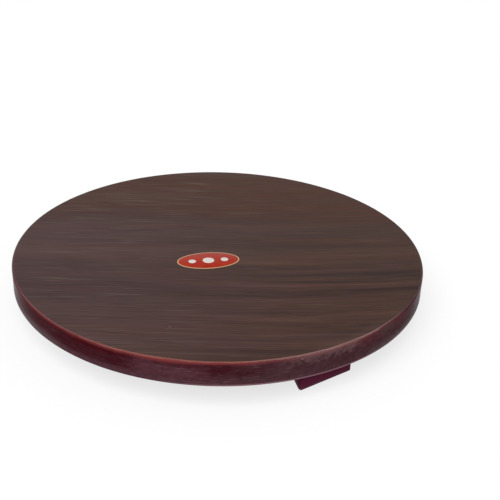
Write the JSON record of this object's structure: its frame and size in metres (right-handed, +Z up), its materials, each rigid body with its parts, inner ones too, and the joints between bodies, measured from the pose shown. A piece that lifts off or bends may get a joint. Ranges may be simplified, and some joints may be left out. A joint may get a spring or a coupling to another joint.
{
  "type": "rolling board",
  "caption": "Round, flat wooden board with a dark wood-grain laminate top, a maroon painted rim and short wedge feet, for rolling out flatbread dough.",
  "frame": {"origin": "on the table, under the middle of the board, level with the soles of the feet", "axes": "+Z up through the middle of the board; +X along the laminate's grain, to the right of a user who stands on the -Y side"},
  "size_m": [0.254, 0.254, 0.028],
  "materials": {
    "maroon_paint": "gloss",
    "walnut_laminate": "satin",
    "foot_paint": "satin",
    "zinc_steel": "satin",
    "label_paper": "satin"
  },
  "bodies": {
    "root": {"core_board": "maroon_paint", "top_laminate": "walnut_laminate", "foot_front_right": "foot_paint", "foot_back_right": "foot_paint", "foot_left": "foot_paint", "foot_front_right_screws": "zinc_steel", "foot_back_right_screws": "zinc_steel", "foot_left_screws": "zinc_steel"}
  },
  "joints": []
}
